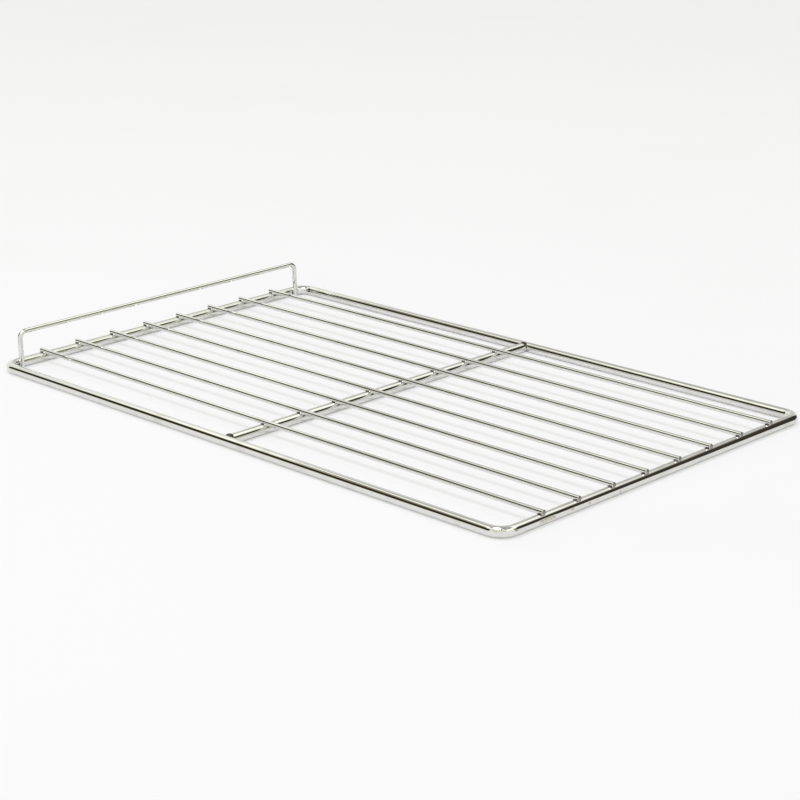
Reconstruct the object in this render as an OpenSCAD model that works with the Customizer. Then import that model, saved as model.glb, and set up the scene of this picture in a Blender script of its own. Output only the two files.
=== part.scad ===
// Wire rack for an oven of the GN 1/1 size: a bent frame wire, a crossbar at its middle, thin rods
// on top, and a U-shaped back guard that keeps trays from sliding off.
// The origin is the middle of the footprint, on the surface that the rack lies on. +X runs along
// the rods, away from the guard, and +Z is up.

/* [Frame] */
// Overall length, over the two end bars
rack_l = 530; // [400:1:700]
// Overall width, over the two side rails
rack_w = 325; // [250:1:450]
// Diameter of the frame wire and of the crossbar
frame_d = 8; // [6:0.5:10]
// Radius of the four corner bends, on the wire's axis
corner_r = 11; // [8:0.5:20]

/* [Rods] */
// Number of rods
rod_count = 8; // [2:1:12]
// Diameter of a rod and of the guard's wire
rod_d = 4; // [3:0.5:5]
// Distance from the outside of a side rail to the nearest rod's axis
rod_margin = 40.7; // [34:0.1:60]
// Distance from the outside of an end bar to the cut end of a rod
rod_inset = 1.5; // [0:0.1:3]
// Width of the broken edge round a cut end
cut_edge = 0.3; // [0.1:0.1:0.6]

/* [Back guard] */
// Overall height of the guard above the surface
guard_h = 32; // [24:1:60]
// Distance from the outside of the near side rail to the near leg's axis
guard_near = 16; // [14:0.5:40]
// Distance from the outside of the far side rail to the far leg's axis
guard_far = 18; // [14:0.5:40]
// Radius of the guard's two bends, on the wire's axis
guard_r = 5.5; // [4:0.5:10]
// Outward lean of the guard in degrees
guard_lean = 1.5; // [0:0.5:5]
// Height of the guard's feet above the surface
foot_clear = 1.5; // [0.5:0.5:2.5]

/* [Welds] */
// Depth that a wire sinks into the wire it is welded to
weld_sink = 1; // [0.5:0.1:1.5]
// Diameter of the weld bead where a thin wire meets a frame wire
bead_d = 5.4; // [5.2:0.1:6]
// How far the bead at an end of the crossbar stands out at the wire's sides
collar = 0.3; // [0.2:0.1:0.6]
// How far that bead is shifted up, so that it stays clear of the surface below
collar_rise = 0.5; // [0.5:0.1:0.8]

/* [Hidden] */
$fn = 48;

// Axes of the end bars, of the side rails and of the plane that they lie in
end_x = (rack_l - frame_d) / 2;
rail_y = (rack_w - frame_d) / 2;
frame_z = frame_d / 2;

// Axis height, length and spacing of the rods
rod_z = frame_d + rod_d / 2 - weld_sink;
rod_l = rack_l - 2 * rod_inset;
rod_pitch = (rack_w - 2 * rod_margin) / (rod_count - 1);

// Distance from a frame wire's axis to the middle of the weld on it
weld_r = (frame_d - weld_sink) / 2;

// Guard: leg axes, and the upper corners of its path in its own plane, measured from the frame's axes
leg_x = -end_x + frame_d / 2 + rod_d / 2 - weld_sink;
near_leg_y = -rack_w / 2 + guard_near;
far_leg_y = rack_w / 2 - guard_far;
guard_top = (guard_h - rod_d / 2 - frame_z) / cos(guard_lean);
guard_foot = foot_clear - frame_z;

plated_steel = [0.78, 0.78, 0.76];

// Place of a rod across the rack, counted from the near side rail
function rod_y(i) = -rack_w / 2 + rod_margin + (i - 1) * rod_pitch;

// Unit vector from one point of a path towards another
function heading(a, b) = (b - a) / norm(b - a);

// Angle in degrees through which a path turns at the point b, counter-clockwise
function turn(a, b, c) = let (u = heading(a, b), v = heading(b, c)) atan2(cross(u, v), u * v);

// Length of straight wire that the bend at b takes up on each side of it
function setback(a, b, c, r) = r * tan(turn(a, b, c) / 2);

// Straight wire between two points of the XY plane
module straight(a, b, d) {
    run = b - a;
    translate(a)
        rotate([0, 90, atan2(run.y, run.x)])
            cylinder(d = d, h = norm(run));
}

// Bend that rounds the corner b of a path that turns counter-clockwise
module bend(a, b, c, d, r) {
    u = heading(a, b);
    centre = b - u * setback(a, b, c, r) + [-u.y, u.x] * r;
    translate(centre)
        rotate(atan2(u.y, u.x) - 90)
            rotate_extrude(angle = turn(a, b, c))
                translate([r, 0])
                    circle(d = d);
}

// Wire bent along the points of a path that turns counter-clockwise. A closed path ends where it starts.
module bent_wire(points, d, r, closed = false) {
    count = len(points);
    for (i = [0:count - 1]) {
        before = points[(i + count - 1) % count];
        here = points[i];
        after = points[(i + 1) % count];
        last = points[(i + 2) % count];
        bent_here = closed || (i > 0 && i < count - 1);
        bent_after = closed || i < count - 2;
        if (bent_here)
            bend(before, here, after, d, r);
        if (closed || i < count - 1)
            straight(
                here + heading(here, after) * (bent_here ? setback(before, here, after, r) : 0),
                after - heading(here, after) * (bent_after ? setback(here, after, last, r) : 0),
                d
            );
    }
}

// The closed loop of the frame
module frame_wire() {
    translate([0, 0, frame_z])
        bent_wire(
            [[-end_x, -rail_y], [end_x, -rail_y], [end_x, rail_y], [-end_x, rail_y]],
            frame_d, corner_r, closed = true
        );
}

// The three wires that carry the rods: the two end bars and the crossbar
module carriers() {
    for (x = [-end_x, 0, end_x])
        translate([x, 0, frame_z])
            rotate([90, 0, 0])
                cylinder(d = frame_d, h = 2 * rail_y, center = true);
}

// The two side rails, without the bends
module side_rails() {
    for (y = [-rail_y, rail_y])
        translate([0, y, frame_z])
            rotate([0, 90, 0])
                cylinder(d = frame_d, h = 2 * end_x, center = true);
}

// Straight wire along X, centred, whose cut ends have broken edges
module cut_wire(d, length) {
    half = length / 2;
    rotate([0, 90, 0])
        rotate_extrude()
            polygon([
                [0, -half],
                [d / 2 - cut_edge, -half],
                [d / 2, -half + cut_edge],
                [d / 2, half - cut_edge],
                [d / 2 - cut_edge, half],
                [0, half]
            ]);
}

module frame() {
    color(plated_steel) frame_wire();
}

// Cut square, pressed into the rails and welded there
module crossbar() {
    color(plated_steel)
        difference() {
            union() {
                translate([0, 0, frame_z])
                    rotate(90)
                        cut_wire(frame_d, 2 * (rail_y - frame_d / 2 + weld_sink));
                for (side = [-1, 1])
                    translate([0, side * (rail_y - weld_r), frame_z + collar_rise])
                        sphere(d = frame_d + 2 * collar);
            }
            side_rails();
        }
}

// One rod with its three welds, notched where it is sunk into the wires below
module rod(i) {
    color(plated_steel)
        translate([0, rod_y(i), 0])
            difference() {
                union() {
                    translate([0, 0, rod_z])
                        cut_wire(rod_d, rod_l);
                    for (x = [-end_x, 0, end_x])
                        translate([x, 0, frame_z + weld_r])
                            sphere(d = bead_d);
                }
                carriers();
            }
}

// A U that stands on the end bar's inner side and leans outwards, welded at both feet
module back_guard() {
    color(plated_steel)
        difference() {
            union() {
                translate([leg_x, 0, frame_z])
                    rotate([90, 0, 90])
                        rotate([-guard_lean, 0, 0])
                            bent_wire(
                                [
                                    [far_leg_y, guard_foot],
                                    [far_leg_y, guard_top],
                                    [near_leg_y, guard_top],
                                    [near_leg_y, guard_foot]
                                ],
                                rod_d, guard_r
                            );
                for (y = [near_leg_y, far_leg_y])
                    translate([-end_x + weld_r, y, frame_z])
                        sphere(d = bead_d);
            }
            frame_wire();
        }
}

frame();
crossbar();
for (i = [1:rod_count])
    rod(i);
back_guard();
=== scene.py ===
"""Chrome-plated wire rack for an oven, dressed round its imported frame.

The rack lies on a white board under soft studio light. Each wire of the frame is replaced by a finer
mesh of the same form, with its welds, cut ends and the marks of how it was made.
"""

import logging
import math
from collections.abc import Callable
from dataclasses import dataclass, field
from enum import Enum

import bmesh
import bpy
from mathutils import Matrix, Vector, noise


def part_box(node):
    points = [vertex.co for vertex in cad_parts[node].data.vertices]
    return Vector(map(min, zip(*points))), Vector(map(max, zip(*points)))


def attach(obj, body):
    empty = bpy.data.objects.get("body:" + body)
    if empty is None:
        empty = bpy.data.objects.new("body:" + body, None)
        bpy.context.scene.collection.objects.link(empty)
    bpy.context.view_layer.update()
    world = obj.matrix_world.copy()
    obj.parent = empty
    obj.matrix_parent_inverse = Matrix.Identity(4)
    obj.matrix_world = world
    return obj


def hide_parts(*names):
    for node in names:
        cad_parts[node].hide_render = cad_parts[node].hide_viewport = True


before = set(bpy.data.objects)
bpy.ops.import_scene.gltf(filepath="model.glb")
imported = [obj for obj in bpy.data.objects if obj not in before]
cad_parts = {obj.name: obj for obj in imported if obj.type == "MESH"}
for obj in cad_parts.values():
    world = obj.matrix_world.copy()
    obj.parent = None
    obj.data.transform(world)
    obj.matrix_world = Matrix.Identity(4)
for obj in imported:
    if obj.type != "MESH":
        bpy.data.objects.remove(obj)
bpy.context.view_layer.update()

MM = 0.001
UP = Vector((0, 0, 1))
SOFT_STEP = {"interpolation_type": "SMOOTHSTEP"}

log = logging.getLogger("wire_rack")


class Finish(Enum):
    """Surface finishes of the rack, in the order of a mesh's material slots."""

    PLATE = 0
    WELD = 1
    CUT = 2


def linear(code: str) -> tuple[float, float, float, float]:
    """Turn an sRGB colour into the linear one that shaders work with.

    Args:
        code: The colour as #RRGGBB.

    Returns:
        Linear red, green and blue, and an alpha of 1.
    """
    parts = [int(code[i:i + 2], 16) / 255 for i in (1, 3, 5)]
    bright = [c / 12.92 if c <= 0.04045 else ((c + 0.055) / 1.055) ** 2.4 for c in parts]
    return (bright[0], bright[1], bright[2], 1.0)


def add_node(
    tree: bpy.types.NodeTree,
    kind: str,
    settings: dict[str | int, object] | None = None,
    links: dict[str | int, bpy.types.NodeSocket] | None = None,
) -> bpy.types.Node:
    """Add a node with its settings and links.

    Args:
        tree: The node tree that gets the node.
        kind: The node's type name.
        settings: Values by the name or number of an input, or by the name of a property.
        links: Output sockets by the name or number of the input that they feed.

    Returns:
        The new node.
    """
    node = tree.nodes.new(kind)
    for key, value in (settings or {}).items():
        if isinstance(key, int) or key in node.inputs:
            node.inputs[key].default_value = value
        else:
            setattr(node, key, value)
    for key, socket in (links or {}).items():
        tree.links.new(socket, node.inputs[key])
    return node


def new_material(name: str) -> tuple[bpy.types.Material, bpy.types.NodeTree]:
    """Make an empty node material.

    Args:
        name: The material's name.

    Returns:
        The material and its node tree, with no nodes in it.
    """
    material = bpy.data.materials.new(name)
    material.use_nodes = True
    material.node_tree.nodes.clear()
    return material, material.node_tree


@dataclass(frozen=True)
class ChromePlate:
    """Bright chrome plate over drawn mild-steel wire.

    The plate is thin and levels nothing, so the eye sees a mirror that is drawn out along the wire by
    the lines of the drawing die, with a faint haze where the nickel below it is dull. Where the wire
    was ground before plating, it is paler and rough, with a brown rim.
    """

    colour: str = "#E2E2DF"
    haze_colour: str = "#D3D3CD"
    roughness: float = 0.04
    haze_roughness: float = 0.12
    haze_mm: float = 14.0
    haze_range: tuple[float, float] = (0.52, 0.78)
    die_line_mm: float = 0.8
    die_line_length_mm: float = 60.0
    die_line_depth_mm: float = 0.003
    wobble_mm: float = 26.0
    wobble_depth_mm: float = 0.05
    ground_colour: str = "#DFDACE"
    ground_roughness: float = 0.3
    ground_range: tuple[float, float] = (0.35, 0.65)
    rim_colour: str = "#8A7860"
    rim_strength: float = 1.5
    grit_mm: float = 0.8
    grit_depth_mm: float = 0.05
    raggedness: float = 0.9

    def material(self) -> bpy.types.Material:
        """Build the material, which reads the wire's own coordinates in millimetres."""
        material, tree = new_material("chrome_plate")
        wire = add_node(tree, "ShaderNodeAttribute", {"attribute_name": "wire_mm"}).outputs["Vector"]
        wear = add_node(tree, "ShaderNodeAttribute", {"attribute_name": "wear"}).outputs["Fac"]
        drawn_out = (1 / self.die_line_length_mm, 1 / self.die_line_mm, 1 / self.die_line_mm)
        along = add_node(
            tree, "ShaderNodeVectorMath", {"operation": "MULTIPLY", 1: drawn_out}, {0: wire}
        )
        lines = add_node(
            tree, "ShaderNodeTexNoise", {"Scale": 1.0, "Detail": 2.0}, {"Vector": along.outputs[0]}
        )
        wobble = add_node(
            tree, "ShaderNodeTexNoise", {"Scale": 1 / self.wobble_mm, "Detail": 1.0}, {"Vector": wire}
        )
        haze = add_node(
            tree, "ShaderNodeTexNoise", {"Scale": 1 / self.haze_mm, "Detail": 4.0}, {"Vector": wire}
        )
        grit = add_node(
            tree, "ShaderNodeTexNoise", {"Scale": 1 / self.grit_mm, "Detail": 3.0}, {"Vector": wire}
        )
        dull = add_node(
            tree, "ShaderNodeMapRange",
            {"From Min": self.haze_range[0], "From Max": self.haze_range[1]},
            {"Value": haze.outputs["Fac"]},
        )
        ragged = add_node(
            tree, "ShaderNodeMath",
            {"operation": "MULTIPLY_ADD", 1: self.raggedness, 2: -self.raggedness / 2},
            {0: grit.outputs["Fac"]},
        )
        torn = add_node(
            tree, "ShaderNodeMath", {"operation": "ADD"}, {0: wear, 1: ragged.outputs[0]}
        )
        ground = add_node(
            tree, "ShaderNodeMapRange",
            {"From Min": self.ground_range[0], "From Max": self.ground_range[1]},
            {"Value": torn.outputs[0]},
        )
        halfway = add_node(
            tree, "ShaderNodeMath", {"operation": "PINGPONG", 1: 0.5}, {0: ground.outputs[0]}
        )
        rim = add_node(
            tree, "ShaderNodeMath",
            {"operation": "MULTIPLY", 1: self.rim_strength, "use_clamp": True},
            {0: halfway.outputs[0]},
        )
        plate = add_node(
            tree, "ShaderNodeMix",
            {"data_type": "RGBA", 6: linear(self.colour), 7: linear(self.haze_colour)},
            {0: dull.outputs[0]},
        )
        bare = add_node(
            tree, "ShaderNodeMix", {"data_type": "RGBA", 7: linear(self.ground_colour)},
            {0: ground.outputs[0], 6: plate.outputs[2]},
        )
        colour = add_node(
            tree, "ShaderNodeMix", {"data_type": "RGBA", 7: linear(self.rim_colour)},
            {0: rim.outputs[0], 6: bare.outputs[2]},
        )
        plate_roughness = add_node(
            tree, "ShaderNodeMapRange", {"To Min": self.roughness, "To Max": self.haze_roughness},
            {"Value": dull.outputs[0]},
        )
        roughness = add_node(
            tree, "ShaderNodeMix", {"data_type": "FLOAT", 3: self.ground_roughness},
            {0: ground.outputs[0], 2: plate_roughness.outputs[0]},
        )
        grit_height = add_node(
            tree, "ShaderNodeMath", {"operation": "MULTIPLY"},
            {0: grit.outputs["Fac"], 1: ground.outputs[0]},
        )
        normal = None
        for height, depth in (
            (wobble.outputs["Fac"], self.wobble_depth_mm),
            (lines.outputs["Fac"], self.die_line_depth_mm),
            (grit_height.outputs[0], self.grit_depth_mm),
        ):
            links = {"Height": height} | ({"Normal": normal} if normal else {})
            bump = add_node(tree, "ShaderNodeBump", {"Strength": 1.0, "Distance": depth * MM}, links)
            normal = bump.outputs["Normal"]
        shader = add_node(
            tree, "ShaderNodeBsdfPrincipled", {"Metallic": 1.0},
            {"Base Color": colour.outputs[2], "Roughness": roughness.outputs[0], "Normal": normal},
        )
        add_node(tree, "ShaderNodeOutputMaterial", links={"Surface": shader.outputs[0]})
        return material


@dataclass(frozen=True)
class RoughSteel:
    """Bare steel that was plated over while still rough, with two tones that follow its grain.

    Its colour is darker in the hollows of the grain and lighter on its crests, which is painted shade that
    follows the bump.
    """

    name: str
    colour: str
    # Painted shade: the colour that the grain's hollows are darkened towards.
    hollow_shade_colour: str
    roughness: float
    hollow_roughness: float
    grain_mm: tuple[float, float, float]
    grain_depth_mm: float
    hollow_range: tuple[float, float]

    def material(self) -> bpy.types.Material:
        """Build the material, with the grain drawn out as its three widths say."""
        material, tree = new_material(self.name)
        wire = add_node(tree, "ShaderNodeAttribute", {"attribute_name": "wire_mm"}).outputs["Vector"]
        spread = tuple(1 / width for width in self.grain_mm)
        place = add_node(tree, "ShaderNodeVectorMath", {"operation": "MULTIPLY", 1: spread}, {0: wire})
        grain = add_node(
            tree, "ShaderNodeTexNoise", {"Scale": 1.0, "Detail": 4.0}, {"Vector": place.outputs[0]}
        )
        hollow = add_node(
            tree, "ShaderNodeMapRange",
            {"From Min": self.hollow_range[1], "From Max": self.hollow_range[0]},
            {"Value": grain.outputs["Fac"]},
        )
        # Painted shade: the colour darkens towards the hollow colour where the grain's bump is low.
        colour = add_node(
            tree, "ShaderNodeMix",
            {"data_type": "RGBA", 6: linear(self.colour), 7: linear(self.hollow_shade_colour)},
            {0: hollow.outputs[0]},
        )
        roughness = add_node(
            tree, "ShaderNodeMapRange", {"To Min": self.roughness, "To Max": self.hollow_roughness},
            {"Value": hollow.outputs[0]},
        )
        bump = add_node(
            tree, "ShaderNodeBump", {"Strength": 1.0, "Distance": self.grain_depth_mm * MM},
            {"Height": grain.outputs["Fac"]},
        )
        shader = add_node(
            tree, "ShaderNodeBsdfPrincipled", {"Metallic": 1.0},
            {"Base Color": colour.outputs[2], "Roughness": roughness.outputs[0],
             "Normal": bump.outputs["Normal"]},
        )
        add_node(tree, "ShaderNodeOutputMaterial", links={"Surface": shader.outputs[0]})
        return material


# Steel squeezed out of a resistance weld. It froze as a ragged lip, dull beside the wire. Its dark colour
# is partly the flash's own rough steel and partly painted shade of the crevice between the wires, and its
# darkest tone is painted shade in the grain's hollows.
WELD_FLASH = RoughSteel(
    name="weld_flash",
    colour="#77726A",
    hollow_shade_colour="#2F2B27",
    roughness=0.5,
    hollow_roughness=0.7,
    grain_mm=(0.9, 0.9, 0.9),
    grain_depth_mm=0.12,
    hollow_range=(0.42, 0.58),
)

# Cut end of a drawn wire. The shear blade leaves parallel tear lines, so it is grey and streaked; the
# darker streaks are painted shade in the hollows of the tear lines.
SHEARED_STEEL = RoughSteel(
    name="sheared_steel",
    colour="#B4B1AB",
    hollow_shade_colour="#6B6762",
    roughness=0.16,
    hollow_roughness=0.34,
    grain_mm=(0.45, 2.2, 0.45),
    grain_depth_mm=0.02,
    hollow_range=(0.35, 0.65),
)


@dataclass(frozen=True)
class WhiteBoard:
    """Melamine-faced board, pressed against a fine matt plate.

    It gives a bright white ground with a weak sheen, on which the rack's soft shadows show. Part of
    its white is shown as it is to the eye and, more weakly, to the chrome, and lights nothing.
    """

    colour: str = "#F6F6F7"
    scuff_colour: str = "#F2F2F2"
    white: str = "#FAFAFA"
    white_share: float = 0.6
    mirrored_share: float = 0.12
    roughness: float = 0.55
    ior: float = 1.45
    scuff_mm: float = 240.0
    scuff_range: tuple[float, float] = (0.5, 0.8)
    grain_mm: float = 1.5
    grain_depth_mm: float = 0.01

    def material(self) -> bpy.types.Material:
        """Build the material from the board's own coordinates."""
        material, tree = new_material("white_board")
        material.cycles.emission_sampling = "NONE"
        place = add_node(tree, "ShaderNodeTexCoord").outputs["Object"]
        scuffs = add_node(
            tree, "ShaderNodeTexNoise", {"Scale": 1 / (self.scuff_mm * MM), "Detail": 3.0},
            {"Vector": place},
        )
        grain = add_node(
            tree, "ShaderNodeTexNoise", {"Scale": 1 / (self.grain_mm * MM), "Detail": 2.0},
            {"Vector": place},
        )
        faint = add_node(
            tree, "ShaderNodeMapRange",
            {"From Min": self.scuff_range[0], "From Max": self.scuff_range[1]},
            {"Value": scuffs.outputs["Fac"]},
        )
        colour = add_node(
            tree, "ShaderNodeMix",
            {"data_type": "RGBA", 6: linear(self.colour), 7: linear(self.scuff_colour)},
            {0: faint.outputs[0]},
        )
        bump = add_node(
            tree, "ShaderNodeBump", {"Strength": 1.0, "Distance": self.grain_depth_mm * MM},
            {"Height": grain.outputs["Fac"]},
        )
        lit = add_node(
            tree, "ShaderNodeBsdfPrincipled", {"Roughness": self.roughness, "IOR": self.ior},
            {"Base Color": colour.outputs[2], "Normal": bump.outputs["Normal"]},
        )
        shown = add_node(tree, "ShaderNodeEmission", {"Color": linear(self.white), "Strength": 1.0})
        path = add_node(tree, "ShaderNodeLightPath")
        seen = add_node(
            tree, "ShaderNodeMath", {"operation": "MULTIPLY", 1: self.white_share},
            {0: path.outputs["Is Camera Ray"]},
        )
        mirrored = add_node(
            tree, "ShaderNodeMath", {"operation": "MAXIMUM"},
            {0: path.outputs["Is Glossy Ray"], 1: path.outputs["Is Transmission Ray"]},
        )
        share = add_node(
            tree, "ShaderNodeMath", {"operation": "MULTIPLY_ADD", 1: self.mirrored_share},
            {0: mirrored.outputs[0], 2: seen.outputs[0]},
        )
        mixed = add_node(
            tree, "ShaderNodeMixShader",
            links={0: share.outputs[0], 1: lit.outputs[0], 2: shown.outputs[0]},
        )
        add_node(tree, "ShaderNodeOutputMaterial", links={"Surface": mixed.outputs[0]})
        return material


@dataclass(frozen=True)
class Ring:
    """One cross-section of a wire: its middle, the axes of its circle, and the run up to it."""

    middle: Vector
    side: Vector
    top: Vector
    run: float


def wire_path(corners: list[Vector], bend_r: float, top: Vector, step: float = 4 * MM) -> list[Ring]:
    """Lay out the cross-sections of a wire that is bent in one plane.

    Args:
        corners: The ends of the wire and the corners between them, in the order of the wire.
        bend_r: Radius of the bends, on the wire's axis.
        top: Unit vector at right angles to the plane.
        step: Greatest distance between two rings of a straight stretch.

    Returns:
        The rings from the first end to the last. A ring's side axis points to the right of the run.
    """
    turn_step = math.radians(5)
    rings: list[Ring] = []
    run = 0.0
    here = corners[0]
    last = len(corners) - 1
    for i in range(1, last + 1):
        ahead = (corners[i] - here).normalized()
        side = ahead.cross(top)
        turn = 0.0
        if i < last:
            onward = (corners[i + 1] - corners[i]).normalized()
            turn = math.atan2(ahead.cross(onward).dot(top), ahead.dot(onward))
        stop = corners[i] - ahead * bend_r * math.tan(abs(turn) / 2)
        length = (stop - here).length
        count = max(1, round(length / step))
        first = 0 if not rings else 1
        rings += [
            Ring(here.lerp(stop, k / count), side, top, run + length * k / count)
            for k in range(first, count + 1)
        ]
        run += length
        here = stop
        if turn:
            outward = side if turn > 0 else -side
            centre = stop - outward * bend_r
            bends = max(1, round(abs(turn) / turn_step))
            for k in range(1, bends + 1):
                spin = Matrix.Rotation(turn * k / bends, 3, top)
                arc = abs(turn) * bend_r * k / bends
                rings.append(Ring(centre + spin @ (stop - centre), spin @ side, top, run + arc))
            run += abs(turn) * bend_r
            here = rings[-1].middle
    return rings


class PieceMesh:
    """Gathers the wires, weld lumps and cut ends of one piece into one mesh."""

    end_rows: tuple[float, ...] = (0.85, 0.6, 0.3)
    end_crown: float = 0.3
    dent_depth: float = 0.06 * MM
    dent_width: float = 1.1 * MM

    def __init__(self) -> None:
        """Start an empty mesh with the wire's coordinates on its corners and wear on its points."""
        self.bm = bmesh.new()
        self.wire_mm = self.bm.loops.layers.float_vector.new("wire_mm")
        self.wear = self.bm.verts.layers.float.new("wear")

    def face(
        self, verts: list[bmesh.types.BMVert], places: list[Vector], finish: Finish
    ) -> bmesh.types.BMFace:
        """Add one smooth face.

        Args:
            verts: Its corners.
            places: The wire's coordinates of each corner, in metres.
            finish: The finish that it shows.

        Returns:
            The new face.
        """
        made = self.bm.faces.new(verts)
        made.smooth = True
        made.material_index = finish.value
        for loop, place in zip(made.loops, places):
            loop[self.wire_mm] = place / MM
        return made

    def wire(
        self,
        rings: list[Ring],
        radius: float,
        sides: int,
        shape: Callable[[float, float], tuple[float, float]],
        closed: bool = False,
    ) -> None:
        """Sweep a round wire along its rings.

        Args:
            rings: The cross-sections, in the order of the wire.
            radius: The wire's radius.
            sides: Number of points round the wire.
            shape: Gives, for a run and an angle, how much lower the surface is there, and its wear.
            closed: Whether the last ring is the first one again. Otherwise both ends are cut.
        """
        angles = [2 * math.pi * k / sides for k in range(sides)]
        crown = self.end_crown * radius
        body = list(rings)
        if not closed:
            for i, back in ((0, -1), (-1, 1)):
                ring = body[i]
                inward = ring.side.cross(ring.top) * back
                body[i] = Ring(ring.middle + inward * crown, ring.side, ring.top, ring.run)
        rows = []
        for ring in body[:-1] if closed else body:
            row = []
            for angle in angles:
                lower, wear = shape(ring.run, angle)
                out = ring.side * math.cos(angle) + ring.top * math.sin(angle)
                vert = self.bm.verts.new(ring.middle + out * (radius - lower))
                vert[self.wear] = wear
                row.append(vert)
            rows.append(row)
        if closed:
            rows.append(rows[0])
        spots = [Vector((0, math.cos(a), math.sin(a))) * radius for a in angles]
        for row, after, ring, ring_after in zip(rows, rows[1:], body, body[1:]):
            near, far = Vector((ring.run, 0, 0)), Vector((ring_after.run, 0, 0))
            for k in range(sides):
                j = (k + 1) % sides
                self.face(
                    [row[k], after[k], after[j], row[j]],
                    [near + spots[k], far + spots[k], far + spots[j], near + spots[j]],
                    Finish.PLATE,
                )
        if not closed:
            self.cut_end(rings[0], rows[0], crown, spots, False)
            self.cut_end(rings[-1], rows[-1], crown, spots, True)

    def cut_end(
        self,
        ring: Ring,
        rim: list[bmesh.types.BMVert],
        crown: float,
        spots: list[Vector],
        at_last: bool,
    ) -> None:
        """Close one end of a wire with a sheared face, uneven and drawn over at its edge.

        Args:
            ring: The cross-section at the very end.
            rim: The last points of the wire's side.
            crown: How far the rim lies behind the middle of the face.
            spots: The places of the points round the wire.
            at_last: Whether this is the last end of the wire.
        """
        inward = ring.side.cross(ring.top) * (1 if at_last else -1)
        count = len(rim)
        sharp = set(rim)
        old, old_share = rim, 1.0
        for share in self.end_rows:
            row = []
            for spot in spots:
                flat = spot * share
                at = ring.middle + ring.side * flat.y + ring.top * flat.z
                dent = self.dent_depth * (1 + noise.noise(at / self.dent_width)) * (1 - share)
                row.append(self.bm.verts.new(at + inward * (crown * share ** 2 + dent)))
            finish = Finish.PLATE if old is rim else Finish.CUT
            for k in range(count):
                j = (k + 1) % count
                quad = [(old[k], spots[k] * old_share), (row[k], spots[k] * share),
                        (row[j], spots[j] * share), (old[j], spots[j] * old_share)]
                quad = quad if at_last else quad[::-1]
                made = self.face([q[0] for q in quad], [q[1] for q in quad], finish)
                for edge in made.edges:
                    edge.smooth = not sharp.issuperset(edge.verts)
            old, old_share = row, share
        middle = self.bm.verts.new(ring.middle + inward * self.dent_depth)
        for k in range(count):
            j = (k + 1) % count
            tri = [(old[k], spots[k] * old_share), (middle, Vector()), (old[j], spots[j] * old_share)]
            tri = tri if at_last else tri[::-1]
            self.face([t[0] for t in tri], [t[1] for t in tri], Finish.CUT)

    def lump(self, place: Vector, size: Vector, rough: float, seed: int, grain: float = 1.6 * MM) -> None:
        """Add a lump of weld metal.

        Args:
            place: Its middle.
            size: Its half-widths along X, Y and Z.
            rough: Depth of its hollows as a share of its half-width.
            seed: Number that sets its pattern apart from that of other lumps.
            grain: Width of its bulges.
        """
        made = bmesh.ops.create_icosphere(self.bm, subdivisions=3, radius=1.0)
        shift = Vector((13.7, 5.1, 9.3)) * seed
        for vert in made["verts"]:
            at = vert.co * size
            hollow = 0.0
            for width, depth in ((grain, rough), (0.45 * grain, 0.4 * rough)):
                hollow += depth * (0.5 + 0.5 * noise.noise(at / width + shift))
            vert.co = place + at * (1 - hollow)
        for made_face in {f for v in made["verts"] for f in v.link_faces}:
            made_face.smooth = True
            made_face.material_index = Finish.WELD.value
            for loop in made_face.loops:
                loop[self.wire_mm] = (loop.vert.co - place) / MM + shift

    def to_object(self, name: str, materials: dict[Finish, bpy.types.Material]) -> bpy.types.Object:
        """Turn what was gathered into an object.

        Args:
            name: The object's name.
            materials: The material of each finish.

        Returns:
            The object, linked to the scene.
        """
        mesh = bpy.data.meshes.new(name)
        self.bm.to_mesh(mesh)
        self.bm.free()
        for finish in Finish:
            mesh.materials.append(materials[finish])
        piece = bpy.data.objects.new(name, mesh)
        bpy.context.scene.collection.objects.link(piece)
        return piece


def place_piece(piece: bpy.types.Object, node: str) -> None:
    """Put a dressed piece in the place of its CAD node.

    Args:
        piece: The dressed piece.
        node: The CAD node that it replaces.
    """
    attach(piece, "root")
    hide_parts(node)
    log.info("%s: %d faces, stands for %s", piece.name, len(piece.data.polygons), node)


def rolled(seed: int, depth: float = 0.02 * MM) -> Callable[[float, float], tuple[float, float]]:
    """Give the faint unevenness that straightening rolls leave on a wire.

    Args:
        seed: Number that sets one wire apart from another.
        depth: Greatest depth of the hollows.

    Returns:
        The shape that PieceMesh.wire asks for, without wear.
    """
    pitch = 24 * MM
    across = 0.6
    apart = 7.3

    def shape(run: float, angle: float) -> tuple[float, float]:
        """Give the depth and the wear at a run and an angle."""
        at = Vector((run / pitch, across * math.cos(angle), across * math.sin(angle) + apart * seed))
        return depth * (0.5 + 0.5 * noise.noise(at)), 0.0

    return shape


@dataclass(frozen=True)
class Mark:
    """A spot on the frame's wire that was ground or nicked before plating.

    Its run is counted from the butt weld towards the far rail, and its angle from the outer side up.
    """

    run: float
    half_length: float
    angle: float
    half_angle: float
    depth: float

    def strength(self, along: float, angle: float) -> float:
        """Give how strong the mark is at a place. It never covers the plate in full.

        Args:
            along: Distance along the wire from the mark's middle.
            angle: Angle round the wire.

        Returns:
            Its strength, which falls off towards the mark's rim.
        """
        fullest = 0.62
        reach = 1.3
        apart = (angle - self.angle + math.pi) % (2 * math.pi) - math.pi
        off = math.hypot((along / self.half_length) ** 2, (apart / self.half_angle) ** 2)
        return max(0.0, min(fullest, reach - off))


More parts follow.
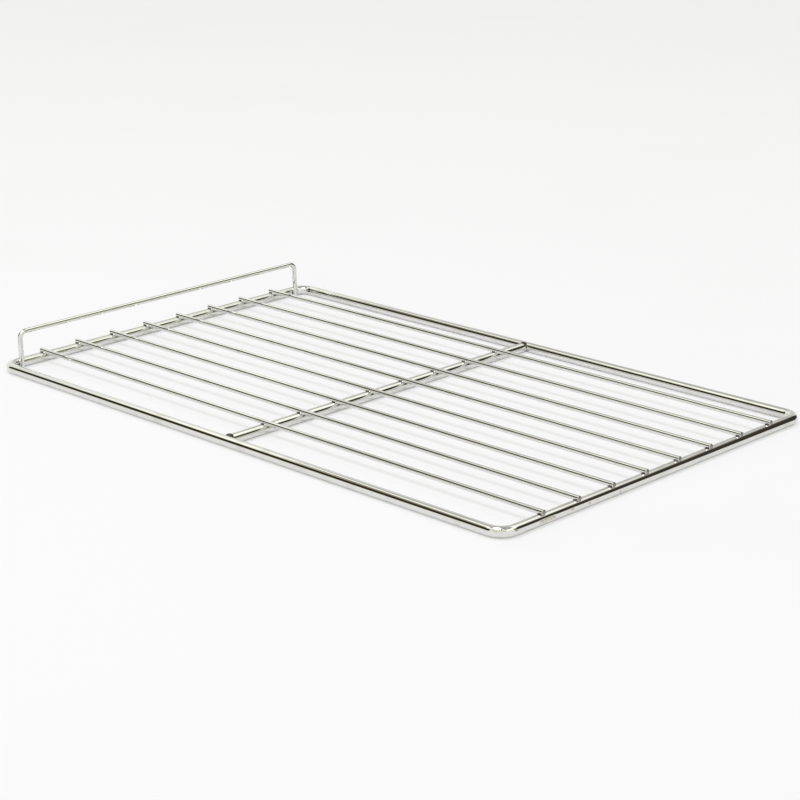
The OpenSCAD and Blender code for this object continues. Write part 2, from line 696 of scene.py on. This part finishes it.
@dataclass
class FrameLoop:
    """The closed loop of thick wire: two side rails and two end bars, butt-welded into a ring.

    The weld was ground off on the outer side of the plain end bar. A corner is scuffed by the bending
    tool, and three small nicks follow the weld.
    """

    materials: dict[Finish, bpy.types.Material]
    bend_r: float = 11 * MM
    sides: int = 56
    ring_step: float = 1.5 * MM
    weld_y: float = -120.2 * MM
    marks: tuple[Mark, ...] = (
        Mark(0.0, 8.0 * MM, math.radians(5), math.radians(17), 0.12 * MM),
        Mark(-37.5 * MM, 3.8 * MM, math.radians(38), math.radians(15), 0.08 * MM),
        Mark(25.3 * MM, 1.5 * MM, math.radians(9), math.radians(11), 0.05 * MM),
        Mark(41.3 * MM, 1.5 * MM, math.radians(3), math.radians(11), 0.05 * MM),
        Mark(72.3 * MM, 1.5 * MM, math.radians(-6), math.radians(11), 0.05 * MM),
    )
    wire_r: float = field(init=False)
    bar_x: float = field(init=False)
    rail_y: float = field(init=False)
    total: float = field(init=False, default=0.0)

    def __post_init__(self) -> None:
        """Work out the wire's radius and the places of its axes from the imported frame."""
        low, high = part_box("frame")
        self.wire_r = (high.z - low.z) / 2
        self.bar_x = high.x - self.wire_r
        self.rail_y = high.y - self.wire_r

    def shape(self, run: float, angle: float) -> tuple[float, float]:
        """Give the unevenness of the loop, with its marks.

        Args:
            run: Distance along the loop from the butt weld.
            angle: Angle round the wire, from its outer side upwards.

        Returns:
            How much lower the surface is, and its wear.
        """
        lower, wear = rolled(1)(run, angle)
        for mark in self.marks:
            along = (run - mark.run + self.total / 2) % self.total - self.total / 2
            strength = mark.strength(along, angle)
            lower += mark.depth * strength
            wear = max(wear, strength)
        return lower, wear

    def build(self) -> bpy.types.Object:
        """Sweep the loop from its butt weld round all four corners."""
        x, y, z = self.bar_x, self.rail_y, self.wire_r
        weld = Vector((x, self.weld_y, z))
        corners = [Vector((x, y, z)), Vector((-x, y, z)), Vector((-x, -y, z)), Vector((x, -y, z))]
        rings = wire_path([weld, *corners, weld], self.bend_r, UP, self.ring_step)
        self.total = rings[-1].run
        mesh = PieceMesh()
        mesh.wire(rings, self.wire_r, self.sides, self.shape, closed=True)
        piece = mesh.to_object("frame_loop", self.materials)
        place_piece(piece, "frame")
        return piece


@dataclass
class Crossbar:
    """The thick wire across the middle, welded between the side rails."""

    materials: dict[Finish, bpy.types.Material]
    loop: FrameLoop
    sink: float = 1 * MM
    collar: float = 0.3 * MM
    collar_rise: float = 0.5 * MM
    collar_rough: float = 0.07
    collar_grain: float = 3 * MM
    sides: int = 56

    def build(self) -> bpy.types.Object:
        """Sweep the bar and set a weld collar at each rail."""
        r, rail_y = self.loop.wire_r, self.loop.rail_y
        end = rail_y - r + self.sink
        mesh = PieceMesh()
        rings = wire_path([Vector((0, -end, r)), Vector((0, end, r))], 0, UP)
        mesh.wire(rings, r, self.sides, rolled(2))
        size = Vector((1, 1, 1)) * (r + self.collar)
        for side in (-1, 1):
            place = Vector((0, side * (rail_y - r + self.sink / 2), r + self.collar_rise))
            mesh.lump(place, size, self.collar_rough, 40 + side, self.collar_grain)
        piece = mesh.to_object("crossbar_wire", self.materials)
        place_piece(piece, "crossbar")
        return piece


@dataclass
class Rods:
    """The thin rods along the rack, each welded to both end bars and to the crossbar."""

    materials: dict[Finish, bpy.types.Material]
    loop: FrameLoop
    wire_r: float = 2 * MM
    weld_size: tuple[float, float, float] = (2.5 * MM, 3.4 * MM, 1.9 * MM)
    weld_rough: float = 0.14
    sink: float = 1 * MM
    sides: int = 36

    def build_rod(self, number: int) -> bpy.types.Object:
        """Sweep one rod and set its three welds.

        Args:
            number: The rod's number, from the near rail.

        Returns:
            The rod's object.
        """
        node = f"rod_{number}"
        low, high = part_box(node)
        y, z = (low.y + high.y) / 2, high.z - self.wire_r
        rings = wire_path([Vector((low.x, y, z)), Vector((high.x, y, z))], 0, UP, 5 * MM)
        mesh = PieceMesh()
        mesh.wire(rings, self.wire_r, self.sides, rolled(10 + number))
        weld_z = 2 * self.loop.wire_r - self.sink / 2
        for k, x in enumerate((-self.loop.bar_x, 0, self.loop.bar_x)):
            place = Vector((x, y, weld_z))
            mesh.lump(place, Vector(self.weld_size), self.weld_rough, 3 * number + k)
        piece = mesh.to_object(f"rod_wire_{number}", self.materials)
        place_piece(piece, node)
        return piece

    def build(self) -> list[bpy.types.Object]:
        """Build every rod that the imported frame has."""
        count = sum(name.startswith("rod_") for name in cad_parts)
        return [self.build_rod(number) for number in range(1, count + 1)]


@dataclass
class BackGuard:
    """The U of thin wire on one end bar, which keeps trays from sliding off."""

    materials: dict[Finish, bpy.types.Material]
    loop: FrameLoop
    wire_r: float = 2 * MM
    bead_r: float = 2.7 * MM
    weld_size: tuple[float, float, float] = (1.9 * MM, 3.0 * MM, 2.7 * MM)
    weld_rough: float = 0.14
    bend_r: float = 5.5 * MM
    lean: float = math.radians(1.5)
    sink: float = 1 * MM
    sides: int = 40

    def build(self) -> bpy.types.Object:
        """Sweep the U from foot to foot and set the weld of each foot."""
        low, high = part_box("back_guard")
        axis_z = self.loop.wire_r
        leg_x = -self.loop.bar_x + self.loop.wire_r + self.wire_r - self.sink
        near_y, far_y = low.y + self.bead_r, high.y - self.bead_r
        up = Vector((-math.sin(self.lean), 0, math.cos(self.lean)))
        foot = up * ((low.z - axis_z) / up.z)
        crown = up * ((high.z - self.wire_r - axis_z) / up.z)
        near, far = Vector((leg_x, near_y, axis_z)), Vector((leg_x, far_y, axis_z))
        corners = [near + foot, near + crown, far + crown, far + foot]
        across = Vector((math.cos(self.lean), 0, math.sin(self.lean)))
        mesh = PieceMesh()
        mesh.wire(wire_path(corners, self.bend_r, across, 3 * MM), self.wire_r, self.sides, rolled(30))
        weld_x = -self.loop.bar_x + self.loop.wire_r - self.sink / 2
        for k, y in enumerate((near_y, far_y)):
            mesh.lump(Vector((weld_x, y, axis_z)), Vector(self.weld_size), self.weld_rough, 60 + k)
        piece = mesh.to_object("guard_wire", self.materials)
        place_piece(piece, "back_guard")
        return piece


@dataclass(frozen=True)
class Patch:
    """A part of the studio's walls that differs from the rest, by direction in degrees.

    Its lower and upper edges rise by their slopes for each degree of azimuth past its middle.
    """

    azimuth: float
    half_width: float
    width_fade: float
    low: float
    low_slope: float
    high: float
    high_slope: float
    fade: float
    colour: str


@dataclass
class Studio:
    """A white room with a bright cove, a lamp overhead and a white board to lie on.

    The chrome shows its two dark doorways as thin dark lines along the wires. Past the edge of the
    board the eye sees a plain backdrop, not the room.
    """

    board: bpy.types.Material
    board_size: float = 14.0
    wall_colour: str = "#FAFDF6"
    cove_colour: str = "#FDFEF3"
    cove_level: float = 1.36
    cove_from: tuple[float, float] = (38.0, 43.0)
    ceiling_colour: str = "#B3B3B3"
    ceiling_from: tuple[float, float] = (56.0, 64.0)
    backdrop_colour: str = "#EDEDEB"
    lamp_place: tuple[float, float, float] = (0.0, -0.57, 2.3)
    lamp_width: float = 0.88
    lamp_power: float = 21.0
    lamp_colour: str = "#F3EDFF"
    patches: tuple[Patch, ...] = (
        # The left doorway and the grey strip above it
        Patch(-134.5, 25.7, 2.4, 11.2, 0.09, 44.0, 0.23, 3.6, "#393119"),
        Patch(-163.3, 14.8, 7.2, 43.0, -0.23, 47.8, 0.06, 1.6, "#8C8681"),
        # The right doorway and the olive curtain beside it
        Patch(67.4, 32.0, 8.8, -16.9, -1.27, 41.2, 0.0, 5.0, "#3F3931"),
        Patch(32.0, 8.5, 3.0, -10.0, 0.0, 42.0, 0.0, 4.0, "#A1A37A"),
        # The dimmer back wall and the dimmer cove above it
        Patch(123.5, 16.8, 8.0, -6.9, 0.3, 32.9, -0.88, 7.5, "#DBDAD9"),
        Patch(145.0, 31.5, 8.4, 33.9, 0.52, 60.0, 0.0, 1.8, "#C6C6BF"),
    )

    def build(self) -> None:
        """Lay the board, light the room and hang the lamp."""
        self.lay_board()
        self.light_room()
        self.hang_lamp()

    def lay_board(self) -> None:
        """Add the white board, with its top at the height that the rack rests on."""
        mesh = bpy.data.meshes.new("board")
        half = self.board_size / 2
        corners = [(-half, -half, 0), (half, -half, 0), (half, half, 0), (-half, half, 0)]
        mesh.from_pydata(corners, [], [(0, 1, 2, 3)])
        mesh.materials.append(self.board)
        board = bpy.data.objects.new("board", mesh)
        bpy.context.scene.collection.objects.link(board)
        log.info("board: %.0f m square", self.board_size)

    def hang_lamp(self) -> None:
        """Hang the round soft lamp, which gives the rods their narrow shadows."""
        data = bpy.data.lights.new("soft_lamp", "AREA")
        data.shape = "DISK"
        data.size = self.lamp_width
        data.energy = self.lamp_power
        data.color = linear(self.lamp_colour)[:3]
        lamp = bpy.data.objects.new("soft_lamp", data)
        lamp.location = self.lamp_place
        lamp.rotation_euler = (-Vector(self.lamp_place)).to_track_quat("-Z", "Y").to_euler()
        bpy.context.scene.collection.objects.link(lamp)
        log.info("soft_lamp: %.0f W, %.2f m wide", self.lamp_power, self.lamp_width)

    def light_room(self) -> None:
        """Colour the world by direction, as the room round the board is lit."""
        world = bpy.data.worlds.new("studio")
        bpy.context.scene.world = world
        world.use_nodes = True
        tree = world.node_tree
        tree.nodes.clear()
        direction = add_node(tree, "ShaderNodeTexCoord").outputs["Generated"]
        split = add_node(tree, "ShaderNodeSeparateXYZ", links={0: direction})
        bearing = add_node(
            tree, "ShaderNodeMath", {"operation": "ARCTAN2"}, {0: split.outputs["Y"], 1: split.outputs["X"]}
        )
        azimuth = add_node(tree, "ShaderNodeMath", {"operation": "DEGREES"}, {0: bearing.outputs[0]})
        rise = add_node(tree, "ShaderNodeMath", {"operation": "ARCSINE"}, {0: split.outputs["Z"]})
        elevation = add_node(tree, "ShaderNodeMath", {"operation": "DEGREES"}, {0: rise.outputs[0]})
        cove = [self.cove_level * c for c in linear(self.cove_colour)[:3]] + [1.0]
        in_cove = add_node(
            tree, "ShaderNodeMapRange",
            SOFT_STEP | {"From Min": self.cove_from[0], "From Max": self.cove_from[1]},
            {"Value": elevation.outputs[0]},
        )
        light = add_node(
            tree, "ShaderNodeMix", {"data_type": "RGBA", 6: linear(self.wall_colour), 7: cove},
            {0: in_cove.outputs[0]},
        )
        for patch in self.patches:
            light = self.add_patch(tree, patch, light, azimuth, elevation)
        in_ceiling = add_node(
            tree, "ShaderNodeMapRange",
            SOFT_STEP | {"From Min": self.ceiling_from[0], "From Max": self.ceiling_from[1]},
            {"Value": elevation.outputs[0]},
        )
        light = add_node(
            tree, "ShaderNodeMix", {"data_type": "RGBA", 7: linear(self.ceiling_colour)},
            {0: in_ceiling.outputs[0], 6: light.outputs[2]},
        )
        room = add_node(tree, "ShaderNodeBackground", links={"Color": light.outputs[2]})
        backdrop = add_node(tree, "ShaderNodeBackground", {"Color": linear(self.backdrop_colour)})
        path = add_node(tree, "ShaderNodeLightPath")
        shown = add_node(
            tree, "ShaderNodeMixShader",
            links={0: path.outputs["Is Camera Ray"], 1: room.outputs[0], 2: backdrop.outputs[0]},
        )
        add_node(tree, "ShaderNodeOutputWorld", links={"Surface": shown.outputs[0]})

    def add_patch(
        self,
        tree: bpy.types.NodeTree,
        patch: Patch,
        light: bpy.types.Node,
        azimuth: bpy.types.Node,
        elevation: bpy.types.Node,
    ) -> bpy.types.Node:
        """Lay one patch over the light of the room.

        Args:
            tree: The world's node tree.
            patch: The patch.
            light: The node that gives the light so far.
            azimuth: The node that gives the direction's azimuth in degrees.
            elevation: The node that gives its elevation in degrees.

        Returns:
            The node that gives the light with the patch.
        """
        past = add_node(
            tree, "ShaderNodeMath", {"operation": "SUBTRACT", 1: patch.azimuth}, {0: azimuth.outputs[0]}
        )
        away = add_node(
            tree, "ShaderNodeMath", {"operation": "WRAP", 1: 180.0, 2: -180.0}, {0: past.outputs[0]}
        )
        apart = add_node(tree, "ShaderNodeMath", {"operation": "ABSOLUTE"}, {0: away.outputs[0]})
        over_low, over_high = (
            add_node(
                tree, "ShaderNodeMath", {"operation": "MULTIPLY_ADD", 1: -slope},
                {0: away.outputs[0], 2: elevation.outputs[0]},
            )
            for slope in (patch.low_slope, patch.high_slope)
        )
        full: dict[str, bpy.types.NodeSocket] = {}
        for value, edge, fade in (
            (apart, patch.half_width, -patch.width_fade),
            (over_low, patch.low, patch.fade),
            (over_high, patch.high, -patch.fade),
        ):
            mask = add_node(
                tree, "ShaderNodeMapRange",
                SOFT_STEP | {"From Min": edge - fade, "From Max": edge + fade},
                {"Value": value.outputs[0]} | full,
            )
            full = {"To Max": mask.outputs[0]}
        return add_node(
            tree, "ShaderNodeMix", {"data_type": "RGBA", 7: linear(patch.colour)},
            {0: mask.outputs[0], 6: light.outputs[2]},
        )


@dataclass(frozen=True)
class PhotoCamera:
    """The camera of the photograph: where it stood, how it was turned, and its lens."""

    place: tuple[float, float, float] = (1.11198, -1.10449, 0.50483)
    right: tuple[float, float, float] = (0.711673, 0.702458, -0.008655)
    up: tuple[float, float, float] = (-0.211012, 0.225499, 0.951117)
    lens_mm: float = 98.7638
    sensor_mm: float = 36.0
    half_pixel: float = 0.5 / 800
    nearest: float = 0.05
    farthest: float = 40.0

    def build(self) -> bpy.types.Object:
        """Add the camera and make it the scene's own."""
        data = bpy.data.cameras.new("camera")
        data.lens = self.lens_mm
        data.sensor_width = self.sensor_mm
        data.shift_x = -self.half_pixel
        data.shift_y = self.half_pixel
        data.clip_start = self.nearest
        data.clip_end = self.farthest
        camera = bpy.data.objects.new("camera", data)
        right, up = Vector(self.right), Vector(self.up)
        turn = Matrix((right, up, right.cross(up))).transposed()
        camera.location = self.place
        camera.rotation_euler = turn.to_euler()
        bpy.context.scene.collection.objects.link(camera)
        bpy.context.scene.camera = camera
        return camera


def main() -> None:
    """Build the camera, the studio and the rack."""
    logging.basicConfig(level=logging.INFO, format="%(name)s: %(message)s")
    bpy.context.scene.view_settings.view_transform = "Standard"
    PhotoCamera().build()
    Studio(WhiteBoard().material()).build()
    materials = {
        Finish.PLATE: ChromePlate().material(),
        Finish.WELD: WELD_FLASH.material(),
        Finish.CUT: SHEARED_STEEL.material(),
    }
    loop = FrameLoop(materials)
    loop.build()
    Crossbar(materials, loop).build()
    Rods(materials, loop).build()
    BackGuard(materials, loop).build()


if __name__ == "__main__":
    main()
